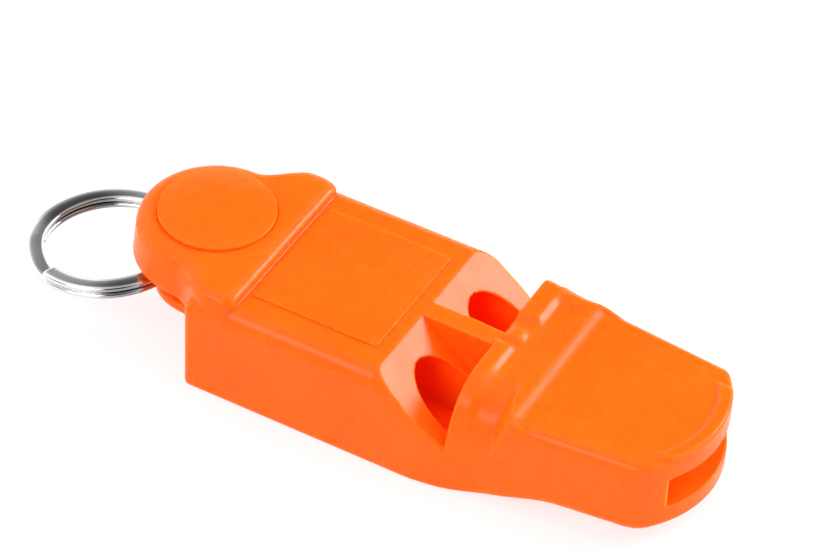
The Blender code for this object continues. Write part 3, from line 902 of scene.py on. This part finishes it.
class Graph:
    """Node tree of one material, built by naming nodes and what goes into them."""

    def __init__(self, owner: bpy.types.ID) -> None:
        """Start with the empty node tree of a material or a world."""
        self.owner = owner
        owner.use_nodes = True
        self.tree = owner.node_tree
        self.tree.nodes.clear()

    def node(self, kind: str, settings: dict[str, object], sockets: dict[object, object],
             out: object = 0) -> Signal:
        """Add a node.

        Args:
            kind: Blender's type name.
            settings: Properties set before anything else; a colour ramp's "stops" are positions and colours.
            sockets: Values or signals by input name or number.
            out: Output name or number to hand back.

        Returns:
            The chosen output as a signal.
        """
        made = self.tree.nodes.new(kind)
        for key, value in settings.items():
            if key == "stops":
                ramp = made.color_ramp.elements
                while len(ramp) < len(value):
                    ramp.new(1.0)
                for element, (place, colour) in zip(ramp, value):
                    element.position = place
                    element.color = (*colour, 1.0)
            else:
                setattr(made, key, value)
        for key, value in sockets.items():
            socket = made.inputs[key]
            if isinstance(value, Signal):
                self.tree.links.new(value.link, socket)
            else:
                socket.default_value = value
        return Signal(self, made.outputs[out])

    def noise(self, scale: float, detail: float, rough: float = 0.5) -> Signal:
        """Noise over the piece's own coordinates, in cells a metre."""
        place = self.node("ShaderNodeTexCoord", {}, {}, "Object")
        sockets = {"Vector": place, "Scale": scale, "Detail": detail, "Roughness": rough}
        return self.node("ShaderNodeTexNoise", {}, sockets)

    def blend(self, share: Signal, low: tuple[float, ...], high: tuple[float, ...]) -> Signal:
        """Mix of two colours by a share."""
        sockets = {0: share, 6: (*low, 1.0), 7: (*high, 1.0)}
        return self.node("ShaderNodeMix", {"data_type": "RGBA"}, sockets, 2)

    def finish(self, surface: dict[str, object]) -> bpy.types.Material:
        """Close the graph with a Principled shader and an output.

        Args:
            surface: Values or signals for the shader's sockets.

        Returns:
            The material.
        """
        shader = self.node("ShaderNodeBsdfPrincipled", {}, surface, "BSDF")
        self.close("ShaderNodeOutputMaterial", shader)
        return self.owner

    def close(self, kind: str, shader: Signal) -> None:
        """Link a shader to a new output node."""
        end = self.tree.nodes.new(kind)
        self.tree.links.new(shader.link, end.inputs["Surface"])


@dataclass(frozen=True)
class GlossyPlastic:
    """Moulded safety-orange plastic: glossy and a little translucent, with faint flow marks.

    The painted glow is a small steady emission: painted light that brightens the whole moulding and lifts its
    shaded windows and recesses.
    """

    name: str
    base: tuple[float, float, float] = (0.985, 0.118, 0.0025)
    light: tuple[float, float, float] = (0.99, 0.13, 0.004)
    rough: float = 0.24
    rough_spread: float = 0.05
    texture_height: float = 0.000004
    painted_glow: float = 0.08

    def material(self) -> bpy.types.Material:
        """Colour drifts with a broad noise, roughness with a finer one, and the bump is a fine grain."""
        graph = Graph(bpy.data.materials.new(self.name))
        drift = graph.noise(90.0, 2.0)
        flow = graph.noise(420.0, 3.0)
        grain = graph.noise(2600.0, 2.0)
        relief = {"Strength": 0.25, "Distance": self.texture_height, "Height": grain}
        bump = graph.node("ShaderNodeBump", {}, relief)
        return graph.finish({
            "Base Color": graph.blend(drift.clamped(0.3, 0.7), self.base, self.light),
            "Roughness": flow.clamped(0.3, 0.7) * self.rough_spread + self.rough,
            "Normal": bump,
            "IOR": 1.42,
            "Specular IOR Level": 0.18,
            "Subsurface Weight": 0.85,
            "Subsurface Radius": (1.0, 0.25, 0.05),
            "Subsurface Scale": 0.005,
            # painted light: a steady orange glow that lifts the shaded windows and recesses
            "Emission Color": (1.0, 0.03, 0.0, 1.0),
            "Emission Strength": self.painted_glow,
        })


@dataclass(frozen=True)
class BrightSteel:
    """Plated spring steel: near mirror, with fine scuffs.

    Its broad dark and light patches are painted, and stand for things that a real ring reflects.
    """

    name: str
    base: tuple[float, float, float] = (0.24, 0.24, 0.245)
    light: tuple[float, float, float] = (0.8, 0.8, 0.81)
    rough: float = 0.1
    rough_spread: float = 0.1
    scuff_height: float = 0.000006

    def material(self) -> bpy.types.Material:
        """Colour and roughness drift along the wire in broad patches whose colour is painted reflection, and
        a fine bump breaks the reflections.
        """
        graph = Graph(bpy.data.materials.new(self.name))
        painted_reflection_patches = graph.noise(130.0, 0.0)
        scuffs = graph.noise(2200.0, 4.0, 0.6)
        relief = {"Strength": 0.2, "Distance": self.scuff_height, "Height": scuffs}
        bump = graph.node("ShaderNodeBump", {}, relief)
        return graph.finish({
            # painted reflections: dark and light colour patches along the wire stand in for what the ring
            # mirrors
            "Base Color": graph.blend(painted_reflection_patches.clamped(0.32, 0.62), self.base, self.light),
            "Metallic": 1.0,
            "Roughness": painted_reflection_patches.clamped(0.35, 0.75) * self.rough_spread + self.rough,
            "Normal": bump,
        })


# ---------------------------------------------------------------- studio


@dataclass(frozen=True)
class Softbox:
    """Square light that faces a point of the object from a direction."""

    name: str
    towards: tuple[float, float, float]
    distance: float
    size: tuple[float, float]
    power: float

    def place(self, aim: Vector) -> None:
        """Hang the light and turn its face to the aim."""
        lamp = bpy.data.lights.new(self.name, "AREA")
        lamp.shape = "RECTANGLE"
        lamp.size, lamp.size_y = self.size
        lamp.energy = self.power
        thing = bpy.data.objects.new(self.name, lamp)
        bpy.context.scene.collection.objects.link(thing)
        away = Vector(self.towards).normalized()
        thing.location = aim + away * self.distance
        thing.rotation_mode = "QUATERNION"
        thing.rotation_quaternion = away.to_track_quat("Z", "Y")


@dataclass
class Studio:
    """Plain white floor, soft lights and the camera."""

    aim: Vector
    camera_back: tuple[float, float, float] = (0.3303, -0.6541, 0.6805)
    camera_up: tuple[float, float, float] = (-0.3591, 0.5796, 0.7315)
    camera_from: tuple[float, float, float] = (114.28, -226.31, 245.85)
    lens: float = 171.43
    shift: tuple[float, float] = (-0.00825, 0.0326)
    floor_size: float = 4.0
    floor_white: float = 0.3
    floor_glow: float = 0.7
    sky: float = 1.45
    openings: tuple[Opening, ...] = (
        ((0.33, -0.654, 0.68), 14, 42, 0.97),
        ((-0.33, 0.654, 0.68), 10, 32, 0.85),
        ((-0.33, -0.93, 0.12), 6, 20, 0.7),
        ((-0.62, -0.5, 0.6), 8, 24, 0.95),
    )

    def floor(self) -> None:
        """A wide square just under the base."""
        half = self.floor_size / 2
        mesh = bpy.data.meshes.new("floor")
        corners = [(-half, -half, 0), (half, -half, 0), (half, half, 0), (-half, half, 0)]
        mesh.from_pydata(corners, [], [(0, 1, 2, 3)])
        thing = bpy.data.objects.new("floor", mesh)
        thing.location.z = -0.00002
        bpy.context.scene.collection.objects.link(thing)
        graph = Graph(bpy.data.materials.new("floor_white"))
        white = (self.floor_white,) * 3
        thing.data.materials.append(graph.finish({
            "Base Color": (*white, 1.0), "Roughness": 0.9, "Specular IOR Level": 0.0,
            "Emission Color": (1.0, 1.0, 1.0, 1.0), "Emission Strength": self.floor_glow,
        }))

    def lights(self) -> None:
        """Two small softboxes inside a white tent."""
        boxes = (
            Softbox("right_back", (0.582, 0.654, 0.483), 0.6, (0.2, 0.2), 2.6),
            Softbox("left_front", (-0.21, -0.68, 0.68), 0.6, (0.4, 0.2), 1.9),
        )
        for softbox in boxes:
            softbox.place(self.aim)

    def tent(self) -> None:
        """Even white light from all sides, but for dim openings with their own directions and depths."""
        graph = Graph(bpy.data.worlds.new("white_tent"))
        direction = graph.node("ShaderNodeTexCoord", {}, {}, "Generated")
        light = None
        for towards, inner, outer, depth in self.openings:
            aimed = {0: direction, 1: tuple(Vector(towards).normalized())}
            near = graph.node("ShaderNodeVectorMath", {"operation": "DOT_PRODUCT"}, aimed, "Value")
            opening = near.clamped(math.cos(math.radians(outer)), math.cos(math.radians(inner)))
            part = 1 - opening * depth
            light = part if light is None else light * part
        sockets = {"Color": (1, 1, 1, 1), "Strength": light * self.sky}
        shader = graph.node("ShaderNodeBackground", {}, sockets, "Background")
        graph.close("ShaderNodeOutputWorld", shader)
        bpy.context.scene.world = graph.owner

    def camera(self) -> None:
        """A long lens from above the near side, turned a little about its own axis."""
        data = bpy.data.cameras.new("camera")
        data.lens = self.lens
        data.sensor_width = 36.0
        data.shift_x, data.shift_y = self.shift
        data.clip_start, data.clip_end = 0.01, 20.0
        thing = bpy.data.objects.new("camera", data)
        bpy.context.scene.collection.objects.link(thing)
        back, up = Vector(self.camera_back).normalized(), Vector(self.camera_up)
        right = up.cross(back).normalized()
        turn = Matrix((right, back.cross(right), back)).transposed()
        thing.matrix_world = Matrix.Translation(Vector(self.camera_from) * MM) @ turn.to_4x4()
        bpy.context.scene.camera = thing

    def build(self) -> None:
        """Set up everything round the object."""
        self.floor()
        self.lights()
        self.tent()
        self.camera()
        bpy.context.scene.view_settings.view_transform = "Standard"


# ---------------------------------------------------------------- assembly


def main() -> None:
    """Build the whistle and its ring, dress them, and set the studio."""
    logging.basicConfig(level=logging.INFO, format="%(name)s %(message)s")
    plastic = GlossyPlastic("orange_plastic_gloss").material()
    steel = BrightSteel("bright_steel_wire").material()
    body = WhistleBody(*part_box("body")).build()
    pad = LabelPad().build()
    cover = BaseCover(*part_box("base_cover")).build()
    badge = Badge(*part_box("badge_disc")).build()
    ring = SplitRing(*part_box("split_ring")).build()
    for thing in (body, pad, cover, badge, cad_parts["windway_insert"]):
        thing.data.materials.clear()
        thing.data.materials.append(plastic)
    ring.data.materials.append(steel)
    Studio((CAD_BOX[0] + CAD_BOX[1]) / 2).build()


if __name__ == "__main__":
    main()
